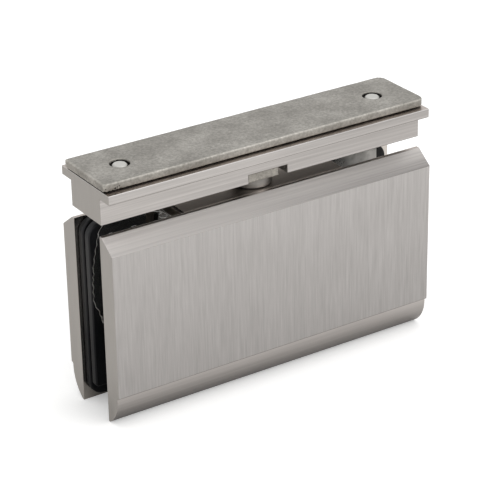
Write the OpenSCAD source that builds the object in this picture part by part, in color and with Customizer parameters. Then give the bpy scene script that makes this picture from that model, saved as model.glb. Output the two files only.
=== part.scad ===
// Glass door pivot hinge, top or bottom mounting, with two clamp plates.
// Millimetres. X runs along the hinge, Y to the rear, Z up.
// The origin is on the pivot axis, level with the feet of the clamp plates.

/* [Clamp plates] */
// Length of both clamp plates
plate_len = 127; // [120:0.5:150]
// Height of both clamp plates
plate_h = 68.2; // [66:0.1:80]
// Thickness of each clamp plate
plate_t = 7.7; // [7.4:0.1:10]
// Clear space between the plates before the glass goes in
plate_gap = 16.9; // [16.7:0.1:19]
// Height of the bevel along the top edge
bevel_h = 4.7; // [3:0.1:5]
// Width of the flat left inside the top bevel
top_flat = 1.4; // [1:0.1:3]
// Height of the foot moulding
foot_h = 11.7; // [8:0.1:14]
// Depth of the step between the face and the foot moulding
foot_step = 1.1; // [0.5:0.1:2]
// Fall of the step from the face inwards
foot_slope = 0.5; // [0.2:0.1:1]
// Height of the upright band below the step
foot_band = 0.8; // [0.5:0.1:3]
// Width of the flat that the foot stands on
foot_flat = 0.7; // [0.5:0.1:2]

/* [Cover] */
// Length of the cover
cover_len = 126.5; // [116:0.5:150]
// Depth of the cover's flange, front to back
flange_w = 30.7; // [28:0.1:36]
// Height of the cover's flange
flange_h = 3.15; // [2.5:0.05:5]
// Depth of the narrow lower part of the cover
channel_w = 19; // [18.6:0.1:24]
// Height of the narrow lower part of the cover
channel_h = 9.1; // [8:0.1:12]
// Wall and floor thickness of the cover
cover_wall = 2.4; // [1.5:0.1:2.8]
// Space between the cover and the clamp plates
cover_gap = 4.1; // [3.5:0.1:7]
// Height of the notch where the pivot lug shows
notch_h = 3.1; // [2:0.1:4]
// Space between the pivot lug and the left side of the notch
notch_left_gap = 1; // [0.5:0.1:3]
// Space between the pivot lug and the right side of the notch
notch_right_gap = 2.4; // [0.5:0.1:4]

/* [Mounting plate] */
// How far the mounting plate stands out past each end of the cover
mount_proud = 0.15; // [-2:0.05:1]
// Depth of the mounting plate, front to back
mount_w = 25.7; // [22:0.1:28]
// Thickness of the mounting plate
mount_t = 2.65; // [2:0.05:5]
// Space between the mounting plate and the cover
mount_lift = 0.4; // [0.2:0.1:1]
// Radius of the right-hand corners
mount_corner_right = 3; // [0.5:0.1:5]
// Radius of the left-hand corners
mount_corner_left = 0.8; // [0.3:0.1:5]
// Distance of the two mounting holes from the cover's ends
mount_screw_inset = 13.05; // [12:0.05:20]
// Diameter of the mounting holes
bolt_hole_d = 6.9; // [6:0.1:8]
// Width of the cast lug that carries the spindle
lug_w = 12.2; // [11.5:0.1:15]
// Depth of the lug, front to back
lug_d = 15.6; // [13:0.1:16]
// How far the lug stands out below the cover
lug_drop = 0.75; // [0.3:0.05:1.5]

/* [Mounting screws] */
// Thread diameter of the mounting screws
mount_screw_d = 5; // [4:0.5:5]
// Head diameter of the mounting screws
mount_head_d = 9.6; // [8:0.1:10]
// How far the screw ends stop below the mounting plate's top
mount_screw_sink = 0.35; // [0.2:0.05:1]

/* [Spindle] */
// Diameter of the spindle's end in the lug
stub_d = 9; // [8:0.1:9.5]
// Length of the spindle's end in the lug
stub_len = 9; // [7:0.1:10]
// Diameter of the round collar that shows below the lug
collar_d = 14.2; // [12:0.1:14.8]
// Diameter of the upper journal
journal_d = 8; // [7:0.1:8.5]
// Size across the flats of the square cam
cam_flats = 6.2; // [5.5:0.1:6.6]
// Height of the square cam
cam_h = 13.6; // [10:0.1:14]
// Diameter of the lower journal
tail_d = 6; // [5:0.1:6]
// Length of the lower journal
tail_len = 12.2; // [11:0.1:13]
// Depth of the ring groove in the lower journal
groove_depth = 0.5; // [0.3:0.1:0.8]
// Thread diameter of the set screw that holds the spindle
set_screw_d = 4; // [3:0.5:4]
// Width of the set screw's hexagon socket
set_socket_af = 2; // [1.5:0.5:2]
// Depth of the set screw's hexagon socket
set_socket_depth = 1.5; // [1:0.1:2]

/* [Pivot block] */
// Width of the pivot block between the glass edges
block_w = 64.6; // [60:0.1:75]
// Height of the pivot block
block_h = 42; // [41.5:0.1:48]
// Thickness of the pivot block
block_t = 15.2; // [14.8:0.1:15.6]
// Radius of the block's lower corners
block_corner = 8; // [4:0.5:12]
// Chamfer along the top edges of the block's two ends
block_chamfer = 0.6; // [0.3:0.1:1.5]
// Depth of the plunger axis below the block's top
plunger_drop = 21.2; // [20.8:0.1:22]
// Distance of each row of clamp screws from the plunger axis
screw_row = 9.5; // [8.5:0.1:10]
// Distance of the clamp screws from the block's ends
screw_edge = 8.3; // [7:0.1:12]

/* [Bushes and washers] */
// Wall thickness of the upper bush
bush_wall = 1.15; // [0.8:0.05:1.2]
// Length of the upper bush
upper_bush_len = 14; // [12:0.1:14.2]
// Length of the lower bush
lower_bush_len = 9.6; // [8:0.1:10]
// Thickness of the thrust washer under the collar
thrust_t = 0.4; // [0.3:0.05:1]
// How far the thrust washer is set in from the collar's edge
thrust_inset = 0.5; // [0.2:0.1:1.5]
// Thickness of the washer under the lower bush
end_washer_t = 0.6; // [0.4:0.1:0.8]
// Thickness of the retaining ring
ring_t = 0.8; // [0.6:0.1:1]
// Outer diameter of the retaining ring
ring_d = 9; // [8:0.1:9.6]
// Opening of the retaining ring, in degrees
ring_opening = 70; // [40:5:100]

/* [Detent] */
// Diameter of the spring plungers
plunger_d = 6.8; // [6:0.1:7]
// Length of the spring plungers
plunger_len = 9.9; // [8:0.1:11]
// Diameter of the plunger's flat nose
plunger_nose_d = 4.4; // [3:0.1:5]
// Diameter of the spring plugs
plug_d = 8; // [7.5:0.1:9]
// Length of the spring plugs
plug_len = 8; // [6:0.1:9]
// How far the plugs are sunk in the block's ends
plug_sink = 0.4; // [0.2:0.1:1]
// Outer diameter of the springs
spring_d = 6.2; // [5:0.1:6.4]
// Wire diameter of the springs
wire_d = 0.9; // [0.6:0.1:1.1]
// Number of turns of each spring
spring_turns = 6; // [4:1:8]

/* [Clamp screws] */
// Thread diameter of the clamp screws
clamp_screw_d = 6; // [5:0.5:6]
// Head diameter of the clamp screws
clamp_head_d = 12; // [10:0.1:12]
// Length of the clamp screws, head included
clamp_screw_len = 30; // [28.5:0.1:30.5]
// Width of the screws' hexagon sockets
socket_af = 4; // [3:0.5:4]
// Depth of the screws' hexagon sockets
socket_depth = 2.4; // [1.5:0.1:3]

/* [Gaskets] */
// Thickness of each rubber gasket
gasket_t = 3.05; // [2:0.05:3.2]
// Distance of the gaskets' ends from the plates' ends
gasket_end_inset = 3.8; // [2.7:0.1:6]
// Space between the pivot block and the arms of the gaskets
gasket_arm_gap = 5.5; // [3:0.1:8]
// How far the loose gaskets have slid to the left
gasket_slide = 2.5; // [0:0.1:2.5]
// Distance of the gaskets from the plates' top edges
gasket_top_inset = 0.4; // [0.2:0.1:2]
// Distance of the rear gasket from the plates' feet
gasket_foot_inset = 2.3; // [0.5:0.1:4]
// How far the front gasket stops above the rear one at the foot
gasket_foot_rise = 5.4; // [0:0.1:8]
// Radius of the gaskets' upper corners, and of the rear one's lower corners
gasket_corner = 5; // [3:0.5:8]
// Radius of the front gasket's lower corners
gasket_trim_corner = 1.2; // [0.8:0.1:5]
// Space between the front gasket and the rear one
gasket_apart = 1; // [0.3:0.1:1.5]
// Thickness of the clear film on the front gasket
film_t = 0.3; // [0.2:0.05:0.5]
// How far the film is set in from the gasket's edges
film_inset = 3.4; // [2:0.1:4]

/* [Fits] */
// Radial clearance of the parts that turn or slide
run_clear = 0.05; // [0.03:0.01:0.08]
// Radial clearance of the parts that are pressed or screwed in
seat_clear = 0.02; // [0.01:0.01:0.03]
// Radial clearance of the screws in their plain holes
hole_clear = 0.3; // [0.25:0.05:0.5]
// Space between parts that stand side by side
side_clear = 0.3; // [0.2:0.1:0.4]

/* [Hidden] */
$fn = 64;

// How far cuts run past a surface
over = 1;
satin = [0.70, 0.69, 0.67];
cast_grey = [0.60, 0.59, 0.56];
steel = [0.78, 0.78, 0.79];
bronze = [0.70, 0.55, 0.33];
black = [0.10, 0.10, 0.11];
clear_film = [0.85, 0.87, 0.88];

// Levels, from the feet up
cover_z = plate_h + cover_gap;
cover_h = channel_h + flange_h;
mount_z = cover_z + cover_h + mount_lift;
mount_top = mount_z + mount_t;
lug_z = cover_z - lug_drop;
collar_z = plate_h + thrust_t;
plunger_z = plate_h - plunger_drop;
cam_top = plunger_z + cam_h / 2;
cam_foot = plunger_z - cam_h / 2;
block_z = plate_h - block_h;
lower_bush_top = cam_foot - 0.2;
lower_bush_z = lower_bush_top - lower_bush_len;
ring_top = lower_bush_z - end_washer_t - run_clear;

// Sizes that other pieces share
inner_y = plate_gap / 2;
outer_y = inner_y + plate_t;
block_front = -inner_y;
block_back = block_front + block_t;
mount_len = cover_len + 2 * mount_proud;
bolt_pitch = cover_len - 2 * mount_screw_inset;
gasket_len = plate_len - 2 * gasket_end_inset;
screw_offset = block_w / 2 - screw_edge;
bush_d = journal_d + 2 * (run_clear + bush_wall);
tail_bush_d = tail_d + 2 * (run_clear + bush_wall);
window_back = lug_d / 2 + side_clear;
clamp_head_y = outer_y - 0.1;
clamp_tip_y = clamp_head_y - clamp_screw_len;
foot_w = plate_t - foot_step;
foot_curve_h = foot_h - foot_slope - foot_band;
plunger_nose_x = journal_d / 2 + 2 * run_clear;
spring_x = plunger_nose_x + plunger_len;
plug_x = block_w / 2 - plug_sink - plug_len;
front_gasket_y = inner_y - gasket_apart - 2 * gasket_t;
front_foot = gasket_foot_inset + gasket_foot_rise;

// Radius of the foot's curve: upright at the band, and ending on the foot's flat
foot_run = foot_w - foot_flat;
foot_r = (foot_run * foot_run + foot_curve_h * foot_curve_h) / (2 * foot_run);

// Section of a clamp plate: x is the distance from its inner face, y the height
module plate_section() {
    polygon([
        [0, foot_curve_h - 0.01], [foot_w, foot_curve_h - 0.01], [foot_w, foot_h - foot_slope],
        [plate_t, foot_h], [plate_t, plate_h - bevel_h], [top_flat, plate_h], [0, plate_h]
    ]);
    intersection() {
        square([foot_w, foot_curve_h]);
        translate([foot_w - foot_r, foot_curve_h]) circle(foot_r, $fn = 128);
    }
}

// A clamp plate along X, with its inner face on the XZ plane and its face to +Y
module plate_bar() {
    rotate([90, 0, 90]) linear_extrude(plate_len, center = true) plate_section();
}

// Places its child at each of the four clamp screws
module at_clamp_screws() {
    for (x = [-screw_offset, screw_offset], z = [plunger_z - screw_row, plunger_z + screw_row])
        translate([x, 0, z]) children();
}

// A rectangle with its own corner radius at the left and at the right
module rounded_rectangle(w, h, r_left, r_right) {
    translate([-w / 2, -h / 2 + r_left]) square([r_left + 0.01, h - 2 * r_left]);
    translate([-w / 2 + r_left, -h / 2]) square([w - r_left - r_right, h]);
    translate([w / 2 - r_right - 0.01, -h / 2 + r_right]) square([r_right + 0.01, h - 2 * r_right]);
    for (side = [-1, 1]) {
        translate([-w / 2 + r_left, side * (h / 2 - r_left)]) circle(r_left);
        translate([w / 2 - r_right, side * (h / 2 - r_right)]) circle(r_right);
    }
}

// A countersunk screw standing on its head, with a hexagon socket from below
module countersunk_screw(d, head_d, len) {
    cone = (head_d - d) / 2;
    difference() {
        union() {
            cylinder(h = 0.3, d = head_d);
            translate([0, 0, 0.3]) cylinder(h = cone, d1 = head_d, d2 = d);
            cylinder(h = len - 0.4, d = d);
            translate([0, 0, len - 0.41]) cylinder(h = 0.41, d1 = d, d2 = d - 0.8);
        }
        translate([0, 0, -over])
            cylinder(h = socket_depth + over, d = socket_af / cos(30), $fn = 6);
    }
}

// The hole that a countersunk screw sits in, from the face it enters
module countersunk_hole(d, head_d, len) {
    cone = (head_d - d) / 2;
    translate([0, 0, -over]) cylinder(h = len + over, d = d + 2 * hole_clear);
    translate([0, 0, -over]) cylinder(h = over + 0.3, d = head_d + 2 * seat_clear);
    translate([0, 0, 0.3 - 0.001])
        cylinder(h = cone, d1 = head_d + 2 * seat_clear, d2 = d + 2 * seat_clear);
}

// A slotless plug or set screw along X, with a hexagon socket in its outer end
module socket_plug(d, len, af, depth) {
    rotate([0, 90, 0]) difference() {
        cylinder(h = len, d = d);
        translate([0, 0, len - depth]) cylinder(h = depth + over, d = af / cos(30), $fn = 6);
    }
}

// A plain bush or washer standing on the XY plane
module tube(d_out, d_in, h) {
    difference() {
        cylinder(h = h, d = d_out);
        translate([0, 0, -over]) cylinder(h = h + 2 * over, d = d_in);
    }
}

// One casting: the plate that is screwed down, and the lug that holds the spindle
module mounting_plate() {
    color(cast_grey) difference() {
        union() {
            translate([0, 0, mount_z]) linear_extrude(mount_t)
                rounded_rectangle(mount_len, mount_w, mount_corner_left, mount_corner_right);
            translate([-lug_w / 2, -lug_d / 2, lug_z])
                cube([lug_w, lug_d, mount_z - lug_z + mount_t / 2]);
        }
        for (side = [-1, 1]) translate([side * bolt_pitch / 2, 0, mount_z - over])
            cylinder(h = mount_t + 2 * over, d = bolt_hole_d);
        translate([0, 0, lug_z - over])
            cylinder(h = stub_len + 0.3 + over, d = stub_d + 2 * seat_clear);
        translate([0, stub_d / 2 - 0.3, lug_z + stub_len / 2]) rotate([-90, 0, 0])
            cylinder(h = lug_d, d = set_screw_d + 2 * seat_clear);
    }
}

// Set screw that holds the spindle in the lug
module spindle_set_screw() {
    len = (lug_d - stub_d) / 2 - seat_clear - 0.2;
    color(steel) translate([0, stub_d / 2 + seat_clear, lug_z + stub_len / 2])
        rotate([0, 0, 90]) socket_plug(set_screw_d, len, set_socket_af, set_socket_depth);
}

// Section of the cover: x is front to back, y the height above its underside
module cover_section() {
    translate([-channel_w / 2, 0]) square([channel_w, cover_h]);
    translate([-flange_w / 2, channel_h]) square([flange_w, flange_h]);
}

// A pocket in the cover's top between two stations along X
module cover_pocket(x_from, x_to) {
    w = channel_w - 2 * cover_wall;
    translate([x_from, -w / 2, cover_wall]) cube([x_to - x_from, w, cover_h]);
}

// Stepped cover, hollowed from above, with a window for the lug and two screw pillars
module cover() {
    window_left = -lug_w / 2 - notch_left_gap;
    window_right = lug_w / 2 + notch_right_gap;
    window_w = window_right - window_left;
    pillar_r = mount_head_d / 2 + 1;
    bolt_x = bolt_pitch / 2;
    end_x = cover_len / 2 - cover_wall;
    color(satin) translate([0, 0, cover_z]) difference() {
        rotate([90, 0, 90]) linear_extrude(cover_len, center = true) cover_section();
        translate([window_left, -window_back, -over])
            cube([window_w, 2 * window_back, cover_h + 2 * over]);
        translate([window_left, -flange_w, -over]) cube([window_w, 2 * flange_w, notch_h + over]);
        cover_pocket(-end_x, -bolt_x - pillar_r);
        cover_pocket(-bolt_x + pillar_r, window_left - cover_wall);
        cover_pocket(window_right + cover_wall, bolt_x - pillar_r);
        cover_pocket(bolt_x + pillar_r, end_x);
        for (side = [-1, 1]) translate([side * bolt_x, 0, 0])
            countersunk_hole(mount_screw_d, mount_head_d, cover_h + over);
    }
}

// Countersunk screw up through the cover and the mounting plate
module mounting_screw(side) {
    color(steel) translate([side * bolt_pitch / 2, 0, cover_z + 0.02])
        countersunk_screw(mount_screw_d, mount_head_d, mount_top - mount_screw_sink - cover_z - 0.02);
}

module mounting_screw_left() {
    mounting_screw(-1);
}

module mounting_screw_right() {
    mounting_screw(1);
}

// Turned spindle: stub, collar, upper journal, square cam and lower journal with a groove
module pivot_spindle() {
    tail_z = cam_foot - tail_len;
    color(steel) difference() {
        union() {
            translate([0, 0, collar_z]) cylinder(h = lug_z - collar_z, d = collar_d);
            translate([0, 0, lug_z - 0.01]) cylinder(h = stub_len + 0.01, d = stub_d);
            translate([0, 0, cam_top]) cylinder(h = collar_z - cam_top + 0.01, d = journal_d);
            intersection() {
                translate([0, 0, cam_foot]) cylinder(h = cam_h + 0.01, d = journal_d);
                translate([-cam_flats / 2, -cam_flats / 2, cam_foot])
                    cube([cam_flats, cam_flats, cam_h + 0.01]);
            }
            translate([0, 0, tail_z]) cylinder(h = tail_len + 0.01, d = tail_d);
        }
        translate([0, 0, ring_top - ring_t - run_clear])
            tube(tail_d + over, tail_d - 2 * groove_depth, ring_t + run_clear);
    }
}

// Spring steel ring, open at one side, snapped into the spindle's groove
module retaining_ring() {
    reach = ring_d;
    half = ring_opening / 2;
    color(steel) translate([0, 0, ring_top - ring_t]) difference() {
        cylinder(h = ring_t, d = ring_d);
        translate([0, 0, -over])
            cylinder(h = ring_t + 2 * over, d = tail_d - 2 * groove_depth + 2 * seat_clear);
        translate([0, 0, -over]) linear_extrude(ring_t + 2 * over)
            polygon([[0, 0], reach * [cos(half), sin(half)], reach * [cos(half), -sin(half)]]);
    }
}

// Front clamp plate: a plain face, and blind threaded holes on the inside
module front_plate() {
    color(satin) difference() {
        translate([0, -inner_y, 0]) mirror([0, 1, 0]) plate_bar();
        at_clamp_screws() translate([0, clamp_tip_y - side_clear, 0]) rotate([-90, 0, 0])
            cylinder(h = plate_t + over, d = clamp_screw_d + 2 * seat_clear);
    }
}

// Rear clamp plate: the same section, countersunk for the clamp screws
module rear_plate() {
    color(satin) difference() {
        translate([0, inner_y, 0]) plate_bar();
        at_clamp_screws() translate([0, clamp_head_y, 0]) rotate([90, 0, 0])
            countersunk_hole(clamp_screw_d, clamp_head_d, plate_t + over);
    }
}

// Face of the pivot block: x along the hinge, y the height
module block_face() {
    end_x = block_w / 2;
    chamfer_x = end_x - block_chamfer;
    polygon([
        [-end_x, block_z + block_corner], [end_x, block_z + block_corner],
        [end_x, plate_h - block_chamfer], [chamfer_x, plate_h],
        [-chamfer_x, plate_h], [-end_x, plate_h - block_chamfer]
    ]);
    translate([-block_w / 2 + block_corner, block_z])
        square([block_w - 2 * block_corner, block_corner + 0.01]);
    for (side = [-1, 1])
        translate([side * (block_w / 2 - block_corner), block_z + block_corner])
            circle(block_corner);
}

// Block between the plates, bored for the spindle, the plungers and the clamp screws
module pivot_block() {
    color(cast_grey) difference() {
        translate([0, block_back, 0]) rotate([90, 0, 0]) linear_extrude(block_t) block_face();
        translate([0, 0, lower_bush_top])
            cylinder(h = plate_h, d = bush_d + 2 * seat_clear);
        translate([0, 0, block_z - over])
            cylinder(h = block_h / 2, d = tail_bush_d + 2 * seat_clear);
        translate([0, 0, block_z - over])
            cylinder(h = lower_bush_z - block_z + over, d = ring_d + 4 * side_clear);
        translate([-block_w, 0, plunger_z]) rotate([0, 90, 0])
            cylinder(h = 2 * block_w, d = plunger_d + 2 * run_clear);
        for (side = [-1, 1]) translate([side * plug_x, 0, plunger_z]) rotate([0, side * 90, 0])
            cylinder(h = block_w, d = plug_d + 2 * seat_clear);
        at_clamp_screws() rotate([90, 0, 0])
            cylinder(h = 3 * block_t, d = clamp_screw_d + 2 * hole_clear, center = true);
    }
}

module upper_bush() {
    color(bronze) translate([0, 0, plate_h - upper_bush_len])
        tube(bush_d, journal_d + 2 * run_clear, upper_bush_len);
}

module lower_bush() {
    color(bronze) translate([0, 0, lower_bush_z])
        tube(tail_bush_d, tail_d + 2 * run_clear, lower_bush_len);
}

// Thin black washer that the collar turns on
module thrust_washer() {
    color(black) translate([0, 0, plate_h])
        tube(collar_d - 2 * thrust_inset, journal_d + 2 * side_clear, thrust_t);
}

// Washer between the lower bush and the retaining ring
module end_washer() {
    color(steel) translate([0, 0, lower_bush_z - end_washer_t])
        tube(ring_d, tail_d + 2 * run_clear, end_washer_t);
}

// Outline of a gasket: a U that hangs round the pivot block, with an even inset
module gasket_outline(foot, foot_corner, inset) {
    low = foot + inset;
    top = plate_h - gasket_top_inset - inset;
    cutout = block_w + 2 * (gasket_arm_gap + inset);
    difference() {
        translate([0, (low + top) / 2]) rotate(90)
            rounded_rectangle(top - low, gasket_len - 2 * inset, foot_corner, gasket_corner);
        translate([-cutout / 2, block_z - side_clear - inset]) square([cutout, plate_h]);
    }
}

// Stands an outline up as a sheet whose front face is at y_front
module hung_sheet(y_front, t) {
    translate([-gasket_slide, y_front + t, 0]) rotate([90, 0, 0]) linear_extrude(t) children();
}

module rear_gasket() {
    color(black) hung_sheet(inner_y - gasket_t, gasket_t)
        gasket_outline(gasket_foot_inset, gasket_corner, 0);
}

// The second gasket, which stands against the first until the glass is fitted
module front_gasket() {
    color(black) hung_sheet(front_gasket_y, gasket_t)
        gasket_outline(front_foot, gasket_trim_corner, 0);
}

// Clear film over the front gasket's adhesive face
module gasket_film() {
    color(clear_film) hung_sheet(front_gasket_y - film_t, film_t)
        gasket_outline(front_foot, gasket_trim_corner, film_inset);
}

// Countersunk screw from the rear plate, through the block, into the front plate
module clamp_screw(side, row) {
    color(steel) translate([side * screw_offset, clamp_head_y, plunger_z + row * screw_row])
        rotate([90, 0, 0]) countersunk_screw(clamp_screw_d, clamp_head_d, clamp_screw_len);
}

module clamp_screw_top_left() {
    clamp_screw(-1, 1);
}

module clamp_screw_top_right() {
    clamp_screw(1, 1);
}

module clamp_screw_bottom_left() {
    clamp_screw(-1, -1);
}

module clamp_screw_bottom_right() {
    clamp_screw(1, -1);
}

// Places its child on the plunger axis, at the left or at the right
module on_plunger_axis(side) {
    translate([0, 0, plunger_z]) rotate([0, 0, side < 0 ? 180 : 0]) children();
}

// Threaded plug that closes a plunger bore and loads its spring
module spring_plug(side) {
    color(steel) on_plunger_axis(side) translate([plug_x, 0, 0])
        socket_plug(plug_d, plug_len, socket_af, socket_depth);
}

module spring_plug_left() {
    spring_plug(-1);
}

module spring_plug_right() {
    spring_plug(1);
}

// Plunger that rests on the spindle's cam, with a tapered nose
module detent_plunger(side) {
    nose_len = (plunger_d - plunger_nose_d) / 2;
    color(steel) on_plunger_axis(side) translate([plunger_nose_x, 0, 0]) rotate([0, 90, 0]) {
        cylinder(h = nose_len, d1 = plunger_nose_d, d2 = plunger_d);
        translate([0, 0, nose_len - 0.01]) cylinder(h = plunger_len - nose_len + 0.01, d = plunger_d);
    }
}

module detent_plunger_left() {
    detent_plunger(-1);
}

module detent_plunger_right() {
    detent_plunger(1);
}

// Point on the wire's surface, at a share t of the spring's length and an angle round the wire
function wire_point(t, around, r, len) =
    let (turn = 360 * spring_turns * t, reach = r + wire_d / 2 * cos(around))
    [reach * cos(turn), reach * sin(turn), wire_d / 2 + (len - wire_d) * t + wire_d / 2 * sin(around)];

// Round-wire compression spring standing on the XY plane
module coil_spring(len) {
    sides = 8;
    steps = 16 * spring_turns;
    r = (spring_d - wire_d) / 2;
    rings = [for (i = [0:steps], k = [0:sides - 1]) wire_point(i / steps, 360 * k / sides, r, len)];
    walls = [for (i = [0:steps - 1], k = [0:sides - 1])
        let (a = i * sides + k, b = i * sides + (k + 1) % sides)
        [a, b, b + sides, a + sides]];
    near_end = [for (k = [sides - 1:-1:0]) k];
    far_end = [for (k = [0:sides - 1]) steps * sides + k];
    polyhedron(rings, concat(walls, [near_end], [far_end]), convexity = 10);
}

module detent_spring(side) {
    color(steel) on_plunger_axis(side) translate([spring_x, 0, 0]) rotate([0, 90, 0])
        coil_spring(plug_x - spring_x);
}

module detent_spring_left() {
    detent_spring(-1);
}

module detent_spring_right() {
    detent_spring(1);
}

mounting_plate();
cover();
mounting_screw_left();
mounting_screw_right();
pivot_spindle();
spindle_set_screw();
retaining_ring();
front_plate();
rear_plate();
pivot_block();
upper_bush();
lower_bush();
thrust_washer();
end_washer();
rear_gasket();
front_gasket();
gasket_film();
clamp_screw_top_left();
clamp_screw_top_right();
clamp_screw_bottom_left();
clamp_screw_bottom_right();
spring_plug_left();
spring_plug_right();
detent_spring_left();
detent_spring_right();
detent_plunger_left();
detent_plunger_right();
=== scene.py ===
import math
from functools import partial

import bpy
from mathutils import Matrix, Vector, noise


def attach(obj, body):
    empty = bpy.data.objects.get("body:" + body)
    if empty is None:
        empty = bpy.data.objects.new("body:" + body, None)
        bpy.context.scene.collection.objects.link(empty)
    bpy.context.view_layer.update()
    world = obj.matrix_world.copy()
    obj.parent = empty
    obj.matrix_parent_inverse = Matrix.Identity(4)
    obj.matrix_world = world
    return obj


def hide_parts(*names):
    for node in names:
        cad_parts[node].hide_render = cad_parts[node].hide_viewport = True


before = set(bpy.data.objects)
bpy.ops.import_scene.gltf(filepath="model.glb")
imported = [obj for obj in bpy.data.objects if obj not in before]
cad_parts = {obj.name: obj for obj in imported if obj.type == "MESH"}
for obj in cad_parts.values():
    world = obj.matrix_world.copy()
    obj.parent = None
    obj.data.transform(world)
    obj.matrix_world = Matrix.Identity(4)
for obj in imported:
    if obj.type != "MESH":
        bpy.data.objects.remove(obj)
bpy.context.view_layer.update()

# Camera: a long lens, from the left, in front and above.
# The view is set by one point, where the pivot axis meets the cover's top, in the hinge's axes
# and in the camera's own.
MM = 0.001
AZIMUTH = math.radians(32.75)
ELEVATION = math.radians(26.04)
ROLL = math.radians(1.0)
COVER_TOP = Vector((0, 0, 84.54)) * MM
COVER_TOP_SEEN = Vector((0.1, 38.0, -701.9)) * MM
FOCAL_PIXELS = 2103.0
FRAME_PIXELS = 500
SENSOR_MM = 36
NEAREST_SEEN = 0.01

turn = Matrix.Rotation(-AZIMUTH, 3, "Z") @ Matrix.Rotation(math.pi / 2 - ELEVATION, 3, "X")
turn = turn @ Matrix.Rotation(-ROLL, 3, "Z")
bpy.ops.object.camera_add()
camera = bpy.context.object
camera.name = "camera"
camera.matrix_world = Matrix.Translation(COVER_TOP - turn @ COVER_TOP_SEEN) @ turn.to_4x4()
camera.data.sensor_width = SENSOR_MM
camera.data.lens = FOCAL_PIXELS / FRAME_PIXELS * SENSOR_MM
camera.data.clip_start = NEAREST_SEEN
bpy.context.scene.camera = camera
bpy.context.scene.view_settings.view_transform = "Standard"


# Floor and light: a pale paper floor under two soft boxes, in a white room.
# The paper glows a little for the camera alone, takes the hinge's shadow, and is plain grey
# in the metal's reflections.
FLOOR_SIZE = 4.0
FLOOR_GLOW = 0.30
ROOM_LIGHT = 0.72
LAMPS_AIM = Vector((0, 0, 0.045))


def linear(hex_colour):
    """Turns an sRGB hex colour into Blender's linear one."""
    values = [int(hex_colour[i:i + 2], 16) / 255 for i in (1, 3, 5)]
    values = [v / 12.92 if v <= 0.04045 else ((v + 0.055) / 1.055) ** 2.4 for v in values]
    return (*values, 1.0)


def add_node(tree, kind, links=None, **settings):
    """Adds a shader node. links gives each input socket a value, an output, or a node's first output."""
    made = tree.nodes.new("ShaderNode" + kind)
    for name, value in settings.items():
        setattr(made, name, value)
    for socket, value in (links or {}).items():
        if isinstance(value, bpy.types.Node):
            value = value.outputs[0]
        if isinstance(value, bpy.types.NodeSocket):
            tree.links.new(value, made.inputs[socket])
        else:
            made.inputs[socket].default_value = value
    return made


def seen_directly(tree):
    """Gives 1 for rays from the camera, from gloss and through clear pieces, and 0 for the rest."""
    ray = add_node(tree, "LightPath").outputs
    either = add_node(tree, "Math", {0: ray["Is Camera Ray"], 1: ray["Is Glossy Ray"]}, operation="MAXIMUM")
    return add_node(tree, "Math", {0: either, 1: ray["Is Transmission Ray"]}, operation="MAXIMUM")


def new_material(name):
    """Starts an empty material and returns it with its node tree."""
    material = bpy.data.materials.new(name)
    material.use_nodes = True
    material.node_tree.nodes.clear()
    return material, material.node_tree


paper, tree = new_material("studio_paper")
white = add_node(tree, "BsdfDiffuse", {"Color": linear("#F4F4F3")})
glow = add_node(tree, "Emission", {"Color": linear("#FFFFFF"), "Strength": FLOOR_GLOW})
lit = add_node(tree, "AddShader", {0: white, 1: glow})
grey = add_node(tree, "BsdfDiffuse", {"Color": linear("#E8E5E2")})
in_view = add_node(tree, "LightPath").outputs["Is Camera Ray"]
choice = add_node(tree, "MixShader", {0: in_view, 1: grey, 2: lit})
add_node(tree, "OutputMaterial", {"Surface": choice})

bpy.ops.object.select_all(action="DESELECT")
bpy.ops.mesh.primitive_plane_add(size=FLOOR_SIZE)
floor = bpy.context.object
floor.name = "studio_floor"
floor.data.materials.append(paper)

world = bpy.data.worlds.new("studio")
bpy.context.scene.world = world
world.use_nodes = True
tree = world.node_tree
tree.nodes.clear()
level = add_node(tree, "MapRange", {"Value": seen_directly(tree), "To Min": ROOM_LIGHT, "To Max": 1.0})
sky = add_node(tree, "Background", {"Color": linear("#FFFFFF"), "Strength": level})
add_node(tree, "OutputWorld", {"Surface": sky})


def add_soft_box(name, place, size, watts):
    """Adds a square area lamp that looks at the middle of the hinge."""
    bpy.ops.object.light_add(type="AREA", location=place)
    lamp = bpy.context.object
    lamp.name = name
    lamp.data.size = size
    lamp.data.energy = watts
    aim = LAMPS_AIM - Vector(place)
    lamp.rotation_euler = aim.to_track_quat("-Z", "Y").to_euler()


add_soft_box("front_soft_box", (0.35, -0.85, 0.75), size=0.7, watts=3.2)
add_soft_box("top_soft_box", (0.08, -0.05, 1.1), size=1.2, watts=3.6)


# Clamp plates: two solid brass bars of one section, plated in nickel and drawn together by four screws.
# Their faces are brushed upright on a belt, their bevels and feet lengthways,
# and their sawn ends are linished.
PLATE_EDGE = 0.16
# Where the plates' section changes: the foot's top, its upright band, the bevel's foot and the inner face.
FOOT_TOP = 11.8 * MM
FOOT_BAND = 11.1 * MM
BEVEL_FOOT = 63.3 * MM
INNER_FACE = 8.6 * MM

# A noise's values lie mostly in this span, which each pattern stretches to the strength that it needs.
NOISE_SPAN = {"From Min": 0.3, "From Max": 0.7}
BAND_SHARE = 0.25
SCRATCH_SPAN = {"From Min": 0.35, "From Max": 0.9}
SCRATCH_DULLING = 0.06
SCRATCH_DEPTH = 0.02 * MM


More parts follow.
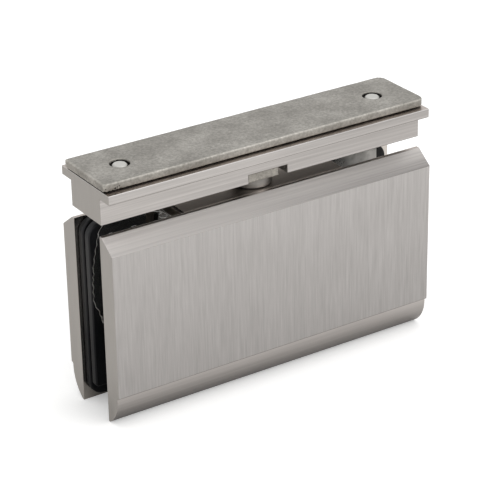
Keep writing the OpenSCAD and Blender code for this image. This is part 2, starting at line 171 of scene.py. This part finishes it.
def brushed_metal(name, fine, broad, colour, streak, roughness, painted_light=(0, 0, 0), about=(0, 0, 0)):
    """Satin metal: a warm grey whose fine parallel scratches spread its highlights.

    fine gives the scratches per mm along X, Y and Z, and broad the wider bands that the belt leaves.
    The last two arguments give the share by which the colour is painted lighter per mm from the point about:
    painted light and shade."""
    material, tree = new_material(name)
    place = add_node(tree, "TexCoord").outputs["Object"]

    def scratches(per_mm, detail):
        stretch = add_node(tree, "Mapping", {"Vector": place, "Scale": Vector(per_mm) / MM})
        return add_node(tree, "TexNoise", {"Vector": stretch, "Scale": 1.0, "Detail": detail,
                                           "Roughness": 0.6})

    fine_lines = scratches(fine, 2.0)
    broad_bands = scratches(broad, 3.0)
    mixed = add_node(tree, "Math", {0: broad_bands, 1: BAND_SHARE, 2: fine_lines}, operation="MULTIPLY_ADD")
    level = 1 - Vector(painted_light).dot(Vector(about))
    shade = add_node(tree, "MapRange", {"Value": mixed, **SCRATCH_SPAN, "To Min": level - streak,
                                        "To Max": level + streak})
    # Painted light and shade: the colour grows lighter along one direction.
    if any(painted_light):
        painted_gain = add_node(tree, "VectorMath", {0: place, 1: Vector(painted_light) / MM},
                          operation="DOT_PRODUCT").outputs["Value"]
        shade = add_node(tree, "Math", {0: shade, 1: painted_gain}, operation="ADD")
    lit = add_node(tree, "HueSaturation", {"Color": linear(colour), "Value": shade})
    dull = add_node(tree, "MapRange", {"Value": fine_lines, **NOISE_SPAN,
                                       "To Min": roughness - SCRATCH_DULLING,
                                       "To Max": roughness + SCRATCH_DULLING})
    relief = add_node(tree, "Bump", {"Height": fine_lines, "Strength": 0.3, "Distance": SCRATCH_DEPTH})
    metal = add_node(tree, "BsdfPrincipled", {"Base Color": lit, "Metallic": 1.0, "Roughness": dull,
                                              "Normal": relief})
    add_node(tree, "OutputMaterial", {"Surface": metal})
    return material


# The scratches of all these finishes are drawn far coarser than real ones, so that they show.
along_bar = (0.02, 1.6, 1.6), (0.004, 0.5, 0.5)
# Broad faces: upright scratches and an even satin sheen, with painted light that makes them a little lighter
# towards the top.
nickel_upright = brushed_metal("nickel_brushed_upright", (2.2, 2.2, 0.08), (1.4, 1.4, 0.05), "#BAB8B7",
                               streak=0.125, roughness=0.42, painted_light=(0, 0, 0.003), about=(0, 0, 40))
# Bevels: lengthways scratches, with painted light that grows up the slope and towards the left.
nickel_bevel = brushed_metal("nickel_brushed_bevel", *along_bar, "#B2AEAB", streak=0.16, roughness=0.50,
                             painted_light=(-0.0026, 0, 0.105), about=(-15, 0, 66))
# The cover's bands: lengthways scratches on the lightest of the nickel, which paints the light they catch
# from above, painted a little lighter towards the left.
nickel_band = brushed_metal("nickel_brushed_band", *along_bar, "#C6C3C1", streak=0.17, roughness=0.40,
                            painted_light=(-0.001, 0, 0), about=(-30, 0, 0))
# Feet: mopped smoother than the faces; their colour is painted dark at the curve's foot and light at its
# top, and a little lighter towards the right: painted shade and light.
nickel_foot = brushed_metal("nickel_mopped_foot", *along_bar, "#A19E9C", streak=0.11, roughness=0.34,
                            painted_light=(0.0012, 0, 0.095), about=(0, 0, 5.5))
# Ends: short linishing marks on a duller grey.
nickel_end = brushed_metal("nickel_linished_end", (1.5, 0.8, 0.1), (0.1, 0.25, 0.05), "#AFACA8",
                           streak=0.07, roughness=0.45)
# Inner faces: plated over a smooth face, so they mirror what stands in the gap; they are painted lighter
# towards the right, a painted reflection of the open end.
nickel_inside = brushed_metal("nickel_smooth_inside", (1.0, 1.0, 1.0), (0.1, 0.1, 0.1), "#B5B1AC",
                              streak=0.03, roughness=0.16, painted_light=(0.004, 0, 0), about=(-60, 0, 0))
# Undersides of steps: painted dark, as painted shade under the step.
nickel_under_edge_painted_shade = brushed_metal("nickel_under_edge_painted_shade", *along_bar, "#7C7874", streak=0.09, roughness=0.40)
# Ledges: left as milled, warmer and glossier than the brushed faces.
nickel_ledge = brushed_metal("nickel_bare_ledge", *along_bar, "#B4ABA5", streak=0.10, roughness=0.28)

# How near corners meet, and the angles up to which faces are flat, from which they make a corner,
# and within which they are smoothed.
TRIANGLES_MEET = 0.001 * MM
FLAT_WITHIN = math.radians(0.3)
CORNER_FROM = math.radians(25)
SMOOTH_WITHIN = math.radians(30)


def softened_copy(node, name, radius_mm, steps=2):
    """Copies a CAD node to a new piece, joins its triangles and rounds its edges."""
    piece = bpy.data.objects.new(name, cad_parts[node].data.copy())
    bpy.context.scene.collection.objects.link(piece)
    piece.data.materials.clear()
    bpy.ops.object.select_all(action="DESELECT")
    piece.select_set(True)
    bpy.context.view_layer.objects.active = piece
    bpy.ops.object.mode_set(mode="EDIT")
    bpy.ops.mesh.select_all(action="SELECT")
    bpy.ops.mesh.remove_doubles(threshold=TRIANGLES_MEET)
    bpy.ops.mesh.dissolve_limited(angle_limit=FLAT_WITHIN)
    bpy.ops.object.mode_set(mode="OBJECT")
    bevel = piece.modifiers.new("edge", "BEVEL")
    bevel.width = radius_mm * MM
    bevel.segments = steps
    bevel.limit_method = "ANGLE"
    bevel.angle_limit = CORNER_FROM
    bevel.use_clamp_overlap = False
    bpy.ops.object.modifier_apply(modifier="edge")
    bpy.ops.object.shade_smooth_by_angle(angle=SMOOTH_WITHIN)
    level = piece.modifiers.new("level", "WEIGHTED_NORMAL")
    level.keep_sharp = True
    bpy.ops.object.modifier_apply(modifier="level")
    return piece


def paint_faces(piece, choose):
    """Gives each face the material that choose names, from the face's normal and middle."""
    materials = []
    for face in piece.data.polygons:
        material = choose(face.normal, face.center)
        if material not in materials:
            materials.append(material)
            piece.data.materials.append(material)
        face.material_index = materials.index(material)


def finish_piece(piece, body, slot, *nodes):
    """Rides a piece on its body, in the place of its CAD nodes."""
    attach(piece, body)
    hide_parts(*nodes)


# From these parts of its normal on, a face counts as facing endways, up, sideways or down.
ENDWAYS = 0.7
UPWARDS = 0.95
SIDEWAYS = 0.9
SQUARELY_SIDEWAYS = 0.995
DOWNWARDS = -0.1


def plate_finish(normal, middle):
    """The finish of a clamp plate's face: its end, top, inside, undercut, foot, front or bevel."""
    if abs(normal.x) > ENDWAYS:
        return nickel_end
    if normal.z > UPWARDS:
        return nickel_ledge
    if abs(normal.y) > SIDEWAYS and abs(middle.y) < INNER_FACE:
        return nickel_inside
    # Undersides of the steps get nickel painted dark as shade.
    if normal.z < DOWNWARDS and FOOT_BAND < middle.z < BEVEL_FOOT:
        return nickel_under_edge_painted_shade
    # Feet get the nickel with painted shade down the curve.
    if middle.z < FOOT_TOP:
        return nickel_foot
    return nickel_upright if abs(normal.y) > SQUARELY_SIDEWAYS or middle.z < BEVEL_FOOT else nickel_bevel


for name in ("front_plate", "rear_plate"):
    plate = softened_copy(name, name + "_nickel", PLATE_EDGE)
    paint_faces(plate, plate_finish)
    finish_piece(plate, "clamp", "satin_nickel", name)


# Cover: a stepped brass bar, hollowed from above and plated in the same nickel.
# It is brushed lengthways, its ends are linished, and the ledge under the casting is left as milled.
COVER_EDGE = 0.22
COVER_DOWNWARDS = -0.2


def cover_finish(normal, middle):
    """The finish of a cover's face: its end, its ledge, its underside, or the rest."""
    if abs(normal.x) > ENDWAYS:
        return nickel_end
    if normal.z > UPWARDS:
        return nickel_ledge
    # Undersides get nickel painted dark as shade.
    return nickel_under_edge_painted_shade if normal.z < COVER_DOWNWARDS else nickel_band


cover = softened_copy("cover", "cover_nickel", COVER_EDGE)
paint_faces(cover, cover_finish)
finish_piece(cover, "mount", "satin_nickel", "cover")


# Mounting plate: a raw zinc die-casting, never plated, because it is hidden once the hinge is fixed.
# Its skin is matt and blotched from tumbling, its edges are blunt, and the front left corner is knocked.
CAST_EDGE = 0.26
CAST_VOXEL = 0.3
SCREW_HOLE_X = 50.2
SCREW_HOLE_WALL = 3.6
SCREW_HOLE_LIP = 87.0
# The skin's waves: size and height in mm.
CAST_WAVES = ((7.0, 0.04), (1.6, 0.018))
# Knocks along the lower front edge and on the corner: centre, reach and depth in mm.
CAST_KNOCKS = (((-63.3, -12.8, 87.5), 0.9, 0.35), ((-62.9, -12.6, 85.2), 0.7, 0.3),
               ((-61.4, -12.9, 85.0), 0.6, 0.3), ((-60.0, -12.9, 85.2), 0.7, 0.3),
               ((-58.6, -12.9, 85.0), 0.5, 0.25), ((-57.2, -12.9, 85.0), 0.7, 0.25),
               ((-54.8, -12.9, 84.9), 0.5, 0.2), ((-45.0, -12.9, 87.6), 0.6, 0.1),
               ((12.0, -12.9, 85.0), 0.8, 0.1))
# Pits near that corner, painted dark as their shade, with no hollow modelled: centre and reach in mm.
CAST_PITS = (((-59.3, -12.9, 85.7), 0.4), ((-58.5, -12.9, 85.85), 0.3), ((-57.7, -12.9, 86.1), 0.3),
             ((-63.2, -12.7, 87.3), 0.3), ((-62.8, -12.9, 86.0), 0.25))
# The casting's clouds, grains and pores: size in mm, detail and roughness of their noise.
CAST_CLOUDS = (9.0, 4.0, 0.55)
CAST_GRAINS = (0.9, 3.0, 0.7)
CAST_PORES = (0.7, 4.0, 0.7)
CAST_PORE_DEPTH = 0.08 * MM
# Painted light, lighter towards the front edge, the left end and the bottom: axis, from and to in mm, and
# how much at most.
CAST_PAINTED_LIGHT = (("Y", -12.0, -12.7, 1.25), ("X", -62.4, -63.2, 1.2), ("Z", 84.8, 84.0, 1.5))


def cast_zinc(name, dark, light):
    """Raw zinc: a soft grey metal, clouded between two greys in patches, and grainy close up."""
    material, tree = new_material(name)
    place = add_node(tree, "TexCoord").outputs["Object"]
    clouds, grains, pores = (
        add_node(tree, "TexNoise", {"Vector": place, "Scale": 1 / (size * MM), "Detail": detail,
                                    "Roughness": rough})
        for size, detail, rough in (CAST_CLOUDS, CAST_GRAINS, CAST_PORES))
    patches = add_node(tree, "ValToRGB", {"Fac": clouds})
    for end, position, colour in zip(patches.color_ramp.elements, (0.35, 0.65), (dark, light)):
        end.position = position
        end.color = linear(colour)
    shade = add_node(tree, "MapRange", {"Value": grains, **NOISE_SPAN, "To Min": 0.74, "To Max": 1.26})
    # Convex edges are lighter: worn by the tumbling, and a painted highlight.
    pointed = add_node(tree, "NewGeometry").outputs["Pointiness"]
    worn_and_highlit = add_node(tree, "MapRange", {"Value": pointed, "From Min": 0.51, "From Max": 0.57,
                                         "To Min": 1.0, "To Max": 1.3})
    shade = add_node(tree, "Math", {0: shade, 1: worn_and_highlit}, operation="MULTIPLY")
    across = add_node(tree, "SeparateXYZ", {"Vector": place})
    # Painted light: the front edge, the left end and the bottom are made lighter.
    for axis, start, end, most in CAST_PAINTED_LIGHT:
        painted_light = add_node(tree, "MapRange", {"Value": across.outputs[axis], "From Min": start * MM,
                                              "From Max": end * MM, "To Min": 1.0, "To Max": most})
        shade = add_node(tree, "Math", {0: shade, 1: painted_light}, operation="MULTIPLY")
    skin = add_node(tree, "HueSaturation", {"Color": patches, "Value": shade})
    relief = add_node(tree, "Bump", {"Height": pores, "Strength": 0.7, "Distance": CAST_PORE_DEPTH})
    metal = add_node(tree, "BsdfPrincipled", {"Base Color": skin, "Metallic": 0.7, "Roughness": 0.55,
                                              "Normal": relief})
    add_node(tree, "OutputMaterial", {"Surface": metal})
    return material


casting = softened_copy("mounting_plate", "raw_casting", CAST_EDGE, steps=3)
remesh = casting.modifiers.new("skin", "REMESH")
remesh.mode = "VOXEL"
remesh.voxel_size = CAST_VOXEL * MM
remesh.use_smooth_shade = True
bpy.ops.object.modifier_apply(modifier="skin")
moved = []
for vertex in casting.data.vertices:
    at = vertex.co / MM
    lift = sum(height * noise.noise(at / size) for size, height in CAST_WAVES)
    for centre, reach, depth in CAST_KNOCKS:
        near = (at - Vector(centre)).length / reach
        if near < 1:
            lift -= depth * (1 - near * near)
    moved.extend(vertex.co + vertex.normal * lift * MM)
casting.data.vertices.foreach_set("co", moved)
casting.data.update()
casting.data.materials.append(cast_zinc("raw_zinc_casting", "#86837D", "#9B9892"))
# Near-black zinc for the screw holes' walls and the pits: painted shade.
casting.data.materials.append(cast_zinc("zinc_recess_painted_shade", "#2E2C2A", "#3A3735"))
for face in casting.data.polygons:
    middle = face.center / MM
    from_hole = math.hypot(abs(middle.x) - SCREW_HOLE_X, middle.y)
    in_hole = from_hole < SCREW_HOLE_WALL and middle.z < SCREW_HOLE_LIP
    if in_hole or any((middle - Vector(centre)).length < reach for centre, reach in CAST_PITS):
        face.material_index = 1
finish_piece(casting, "mount", "raw_casting", "mounting_plate")


# Steel fasteners: mounting, clamp and set screws, the springs' plugs, an end washer and a retaining ring.
# They keep their turned form; the set screw, the plugs and the ring are blackened, and the rest is
# bright zinc-plated.
def turned_metal(name, colour, roughness, streak=0.04, scale_mm=0.5):
    """Turned or plated metal: plain, with a faint unevenness from the tool or the bath."""
    material, tree = new_material(name)
    place = add_node(tree, "TexCoord").outputs["Object"]
    spots = add_node(tree, "TexNoise", {"Vector": place, "Scale": 1 / (scale_mm * MM), "Detail": 3.0})
    shade = add_node(tree, "MapRange", {"Value": spots, **NOISE_SPAN, "To Min": 1 - streak,
                                        "To Max": 1 + streak})
    lit = add_node(tree, "HueSaturation", {"Color": linear(colour), "Value": shade})
    dull = add_node(tree, "MapRange", {"Value": spots, "To Min": roughness - 0.08,
                                       "To Max": roughness + 0.08})
    metal = add_node(tree, "BsdfPrincipled", {"Base Color": lit, "Metallic": 1.0, "Roughness": dull})
    add_node(tree, "OutputMaterial", {"Surface": metal})
    return material


def dress(node, material):
    """Gives a CAD node a material for all of its faces."""
    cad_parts[node].data.materials.clear()
    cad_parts[node].data.materials.append(material)


# Zinc plating: pale and dull, so that a screw's end reads as a light disc in its dark hole.
bright_steel = turned_metal("zinc_plated_steel", "#C0BFBB", 0.62)
# Black oxide: nearly black, with a dull gloss.
black_steel = turned_metal("black_oxide_steel", "#35353A", 0.45)
for node in ("mounting_screw_left", "mounting_screw_right", "clamp_screw_top_left", "clamp_screw_top_right",
             "clamp_screw_bottom_left", "clamp_screw_bottom_right", "end_washer"):
    dress(node, bright_steel)
for node in ("spindle_set_screw", "spring_plug_left", "spring_plug_right", "retaining_ring"):
    dress(node, black_steel)


# Spindle and detent: a turned stainless spindle, two plungers and their springs, inside the block.
# Only the spindle's collar shows, in the notch under the cover, and its tool marks run round it.

# Turned plungers: a bright warm grey. Drawn wire: a plainer, darker one.
stainless = turned_metal("turned_stainless", "#A8A39C", 0.3)
spring_wire = turned_metal("drawn_spring_wire", "#8E8E8F", 0.35)
# The spindle: a mid grey with level rings, darker towards the collar's top, where the cover shades it.
turned_spindle = brushed_metal("turned_spindle", (0.1, 0.1, 5.0), (0.05, 0.05, 1.0), "#918F8C",
                               streak=0.08, roughness=0.34, painted_light=(0, 0, -0.07), about=(0, 0, 70.3))
dress("pivot_spindle", turned_spindle)
for node in ("detent_plunger_left", "detent_plunger_right"):
    dress(node, stainless)
for node in ("detent_spring_left", "detent_spring_right"):
    dress(node, spring_wire)


# Bushes and thrust washer: the bushes are oiled sintered bronze, pressed into the block's bore.
# The washer under the spindle's collar is black nylon, stamped from sheet.

# Sintered bronze: a brownish yellow, mottled by its pores.
sintered_bronze = turned_metal("sintered_bronze", "#B58E5C", 0.5, streak=0.12, scale_mm=0.3)
for node in ("upper_bush", "lower_bush"):
    dress(node, sintered_bronze)

BLOOM_SIZE = 14 * MM
GRAIN_DEPTH = 0.02 * MM
# Painted shade: the gloss is weakest below the first height and full above the second.
SHEEN_STARTS = 24 * MM
SHEEN_FULL = 46 * MM


def rubber(name, colour, roughness, grain_mm):
    """Black rubber or nylon: nearly black, with a pressed sheet's low gloss, painted duller towards its foot
    as painted shade.
    """
    material, tree = new_material(name)
    place = add_node(tree, "TexCoord").outputs["Object"]
    grain = add_node(tree, "TexNoise", {"Vector": place, "Scale": 1 / (grain_mm * MM), "Detail": 3.0})
    bloom = add_node(tree, "TexNoise", {"Vector": place, "Scale": 1 / BLOOM_SIZE, "Detail": 2.0})
    shade = add_node(tree, "MapRange", {"Value": bloom, **NOISE_SPAN, "To Min": 0.85, "To Max": 1.25})
    tint = add_node(tree, "HueSaturation", {"Color": linear(colour), "Value": shade})
    dull = add_node(tree, "MapRange", {"Value": bloom, "To Min": roughness - 0.1, "To Max": roughness + 0.1})
    relief = add_node(tree, "Bump", {"Height": grain, "Strength": 0.2, "Distance": GRAIN_DEPTH})
    height = add_node(tree, "SeparateXYZ", {"Vector": place}).outputs["Z"]
    sheen = add_node(tree, "MapRange", {"Value": height, "From Min": SHEEN_STARTS, "From Max": SHEEN_FULL,
                                        "To Min": 0.1, "To Max": 0.27})
    skin = add_node(tree, "BsdfPrincipled", {"Base Color": tint, "Roughness": dull, "IOR": 1.52,
                                             "Specular IOR Level": sheen, "Normal": relief})
    add_node(tree, "OutputMaterial", {"Surface": skin})
    return material


dress("thrust_washer", rubber("black_nylon", "#1C1C1C", 0.4, 0.2))


# Pivot block: a plated casting that the clamp screws hold between the plates, smooth and unbrushed.
# Its top and left end show in the gap under the cover, and its nickel is painted darker and browner as the
# gap's shadow.
BLOCK_EDGE = 0.15
SLOPE_FROM = 0.3
SLOPE_TO = 0.95
along_block = (0.05, 1.6, 1.6), (0.02, 0.4, 0.4)
# Plating over a smooth casting, with hardly a scratch; its darker, browner colour is painted shade.
nickel_block = brushed_metal("nickel_block", *along_block, "#988F87", streak=0.09, roughness=0.42)
# Sloping edges: painted dark, as painted shade in the gap under the cover.
nickel_edge_painted_shade = brushed_metal("nickel_edge_painted_shade", *along_block, "#3E3A37", streak=0.12, roughness=0.27)


def block_finish(normal, middle):
    """The finish of the block's face: a sloping edge, or the rest."""
    # Sloping edges get the nickel painted dark as shade.
    return nickel_edge_painted_shade if SLOPE_FROM < abs(normal.x) < SLOPE_TO else nickel_block


block = softened_copy("pivot_block", "pivot_block_nickel", BLOCK_EDGE)
paint_faces(block, block_finish)
finish_piece(block, "clamp", "smooth_nickel", "pivot_block")


# Gaskets: two sheets of black rubber, die-cut to hang round the pivot block.
# Their cut edges are a little rounded, so a dark groove shows where they lie face to face.
GASKET_EDGE = 0.6
# Sheet rubber: nearly black, smooth enough for a soft sheen on its cut edges.
black_rubber = rubber("black_rubber_sheet", "#141517", 0.42, 0.25)
for name in ("rear_gasket", "front_gasket"):
    gasket = softened_copy(name, name + "_rubber", GASKET_EDGE, steps=4)
    gasket.data.materials.append(black_rubber)
    finish_piece(gasket, "clamp", "black_rubber", name)


# Gasket film: the clear polyester film over the front gasket's adhesive face, loose and never pressed flat.
# Its left edge wanders and curls, and past the left arm it is crumpled into the gap beside the block.
FILM_FACE = 1.05
FILM_TOP = 67.2
FILM_FOOT = 8.6
FILM_CUT_FOOT = 25.0
FILM_LIFTS = -42.9
FILM_BY_BLOCK = 32.6
FILM_RIGHT = 52.9
FILM_OFF_GASKET = 0.12
FILM_OFF_ARM = 0.25
FILM_ARM_WAVES = 0.3
# The left edge, down from the top: Z and X of each bend in mm, with small waves between them.
FILM_LEFT = ((FILM_TOP, -57.5), (64.4, -59.2), (59.3, -60.4), (54.9, -61.3), (51.4, -61.9), (50.4, -61.4),
             (49.3, -62.0), (41.2, -62.1), (39.5, -61.9), (36.0, -60.2), (33.0, -59.5), (29.0, -57.5),
             (FILM_FOOT, -57.0))
EDGE_WAVE = 0.15
EDGE_WAVES_PER_MM = 2.1
EDGE_CURL = 0.5
EDGE_CURL_WIDTH = 1.2
# How the film stands at its top beside the block: X and Y in mm of the curl and of two loose flaps.
FILM_CURL = ((FILM_LIFTS, 0.9), (-41.5, 0.7), (-40.0, 0.6), (-38.6, 0.3), (-37.2, -0.8), (-36.6, -2.2),
             (-37.3, -2.6), (-38.2, -3.0), (-38.8, -4.4), (-38.4, -5.8), (-37.2, -5.9), (-36.6, -5.0))
FILM_FLAPS = (((-36.0, -5.0), (-35.9, -3.5), (-36.1, -1.5), (-36.3, 0.9)),
              ((-35.4, -6.2), (-35.3, -4.0), (-35.1, -1.5), (-34.9, 0.9)))
FILM_SLACK = 0.35
FILM_DIP = 0.1
FILM_BULGE = 2.0
FILM_BULGE_Z = 60
FILM_BULGE_SPREAD = 4.5
# Widths in mm of the white lines painted along the left and top cut edges: painted highlights.
FILM_CUT_EDGE = 0.42
FILM_TOP_EDGE = 0.32
# Two short level glints, painted where creases would catch the light, with no crease modelled: X from and
# to, and Z, in mm.
FILM_PAINTED_GLINTS = ((-55.0, -53.5, 63.2), (-46.4, -44.5, 63.4))
FILM_GLINT_REACH = 0.1
# Painted reflection of the bright open end: the film whitens from the first X to the second.
PAINTED_REFLECTION_FROM = 33 * MM
PAINTED_REFLECTION_TO = 50 * MM
BLOTCH_SIZE = 2.5 * MM


def film_left_edge(z):
    """X of the film's left edge at a height, with its small waves."""
    for (top, x_top), (foot, x_foot) in zip(FILM_LEFT, FILM_LEFT[1:]):
        if z >= foot:
            share = (z - foot) / (top - foot)
            return x_foot + (x_top - x_foot) * share + EDGE_WAVE * math.sin(EDGE_WAVES_PER_MM * z)
    return FILM_LEFT[-1][1]


def flutter(x, z, wide, high, layer):
    """The film's unevenness at a place, from -1 to 1: waves so wide and high, other ones in each layer."""
    return noise.noise((x / wide, layer, z / high))


def film_on_gasket(right, share, z):
    """A point of the film where it lies on the gasket: nearly flat, and curled at its left edge."""
    left = film_left_edge(z)
    x = left + (right - left) * share
    y = FILM_FACE - FILM_OFF_GASKET - FILM_OFF_GASKET * flutter(x, z, 5, 7, layer=3.0)
    if x - left < EDGE_CURL_WIDTH:
        y -= EDGE_CURL * (1 - (x - left) / EDGE_CURL_WIDTH) ** 2
    return Vector((x, y, z))


def film_standing(plan, share, z):
    """A point of the film standing free: flat at its foot, and on the plan's smooth line at the top."""
    at = share * (len(plan) - 1)
    first = min(int(at), len(plan) - 2)
    t = at - first
    a, b, c, d = (Vector(plan[max(0, min(len(plan) - 1, first + i))]) for i in (-1, 0, 1, 2))
    place = 0.5 * (2 * b + (c - a) * t + (2 * a - 5 * b + 4 * c - d) * t ** 2
                   + (3 * b - a - 3 * c + d) * t ** 3)
    opened = ((z - FILM_CUT_FOOT) / (FILM_TOP - FILM_CUT_FOOT)) ** 0.5
    sway = FILM_SLACK * opened * min(1, 3 * share)
    x = place.x + sway * flutter(place.x, z, 1, 6, layer=1.0)
    y = FILM_FACE + (place.y - FILM_FACE) * opened + sway * flutter(place.x, z, 1, 6, layer=9.0)
    dip = FILM_DIP * share * (1 + flutter(place.x, 0, 0.5, 1, layer=5.0))
    return Vector((x, y, z - dip))


def film_on_right_arm(share, z):
    """A point of the film on the right arm, where it bulges towards the block's end."""
    x = FILM_BY_BLOCK + (FILM_RIGHT - FILM_BY_BLOCK) * share
    bulge = FILM_BULGE * math.exp(-((z - FILM_BULGE_Z) / FILM_BULGE_SPREAD) ** 2)
    bulge *= math.sin(math.pi * min(1, 0.15 + share))
    y = FILM_FACE - FILM_OFF_ARM - bulge - FILM_ARM_WAVES * flutter(x, z, 3, 4, layer=3.0)
    return Vector((x, y, z))


def clear_film(name, least=0.0):
    """Polyester film: clear face on, whiter where it turns edge on, and on the right arm whiter towards the
    right, in blotches: a painted reflection of the bright open end.

    least is the smallest share of light that it holds back."""
    material, tree = new_material(name)
    place = add_node(tree, "TexCoord").outputs["Object"]
    across = add_node(tree, "SeparateXYZ", {"Vector": place}).outputs["X"]
    slant = add_node(tree, "LayerWeight", {"Blend": 0.4}).outputs["Facing"]
    body = add_node(tree, "MapRange", {"Value": slant, "From Min": 0.35, "From Max": 0.9,
                                       "To Min": 0.02, "To Max": 0.75})
    # Painted reflection: whiter towards the right end, in blotches.
    painted_reflection = add_node(tree, "MapRange", {"Value": across, "From Min": PAINTED_REFLECTION_FROM, "From Max": PAINTED_REFLECTION_TO})
    spots = add_node(tree, "TexNoise", {"Vector": place, "Scale": 1 / BLOTCH_SIZE, "Detail": 3.0})
    blotch = add_node(tree, "MapRange", {"Value": spots, **NOISE_SPAN, "To Min": 0.75, "To Max": 1.15})
    painted_reflection = add_node(tree, "Math", {0: painted_reflection, 1: blotch}, operation="MULTIPLY")
    share = add_node(tree, "Math", {0: body, 1: painted_reflection}, operation="ADD", use_clamp=True)
    share = add_node(tree, "Math", {0: share, 1: least}, operation="MAXIMUM")
    clear = add_node(tree, "BsdfTransparent")
    skin = add_node(tree, "BsdfPrincipled", {"Base Color": linear("#F2F1ED"), "Roughness": 0.2, "IOR": 1.6})
    film = add_node(tree, "MixShader", {0: share, 1: clear, 2: skin})
    add_node(tree, "OutputMaterial", {"Surface": film})
    return material


FLAT, PAINTED_HIGHLIGHT, CRUMPLED = range(3)
# Each stretch of the film: its finish, shape, foot and top, and its columns and rows of faces.
stretches = (
    (FLAT, partial(film_on_gasket, FILM_LIFTS), FILM_CUT_FOOT, FILM_TOP, 60, 250),
    (FLAT, partial(film_standing, FILM_CURL), FILM_CUT_FOOT, FILM_TOP, 110, 170),
    (CRUMPLED, partial(film_standing, FILM_FLAPS[0]), FILM_CUT_FOOT, FILM_TOP, 30, 170),
    (CRUMPLED, partial(film_standing, FILM_FLAPS[1]), FILM_CUT_FOOT, FILM_TOP, 30, 170),
    (FLAT, partial(film_on_gasket, FILM_RIGHT), FILM_FOOT, FILM_CUT_FOOT, 140, 20),
    (FLAT, film_on_right_arm, FILM_CUT_FOOT, FILM_TOP, 40, 60))
points, faces, finishes = [], [], []
for finish, shape, foot, top, columns, rows in stretches:
    first = len(points)
    points += [shape(column / columns, foot + (top - foot) * row / rows) * MM
               for row in range(rows + 1) for column in range(columns + 1)]
    corners = [first + row * (columns + 1) + column for row in range(rows) for column in range(columns)]
    faces += [(corner, corner + 1, corner + columns + 2, corner + columns + 1) for corner in corners]
    finishes += [finish] * len(corners)
sheet = bpy.data.meshes.new("clear_film_sheet")
sheet.from_pydata(points, [], faces)
film = bpy.data.objects.new("clear_film_sheet", sheet)
bpy.context.scene.collection.objects.link(film)
# Flat film is nearly clear, its cut edges and two glints are painted as white lines, painted highlights, and
# crumpled film holds back some light.
sheet.materials.append(clear_film("clear_polyester_film"))
sheet.materials.append(clear_film("film_edge_painted_highlight", 0.9))
sheet.materials.append(clear_film("crumpled_film", 0.2))
for face, finish in zip(sheet.polygons, finishes):
    x, _, z = face.center / MM
    # Painted glints: two short white lines where creases would catch the light.
    glinting = any(left < x < right and abs(z - level) < FILM_GLINT_REACH
                  for left, right, level in FILM_PAINTED_GLINTS)
    cut = x - film_left_edge(z) < FILM_CUT_EDGE or FILM_TOP - z < FILM_TOP_EDGE
    face.material_index = PAINTED_HIGHLIGHT if cut or glinting else finish
bpy.ops.object.select_all(action="DESELECT")
film.select_set(True)
bpy.context.view_layer.objects.active = film
bpy.ops.object.shade_smooth()
finish_piece(film, "clamp", "clear_film", "gasket_film")
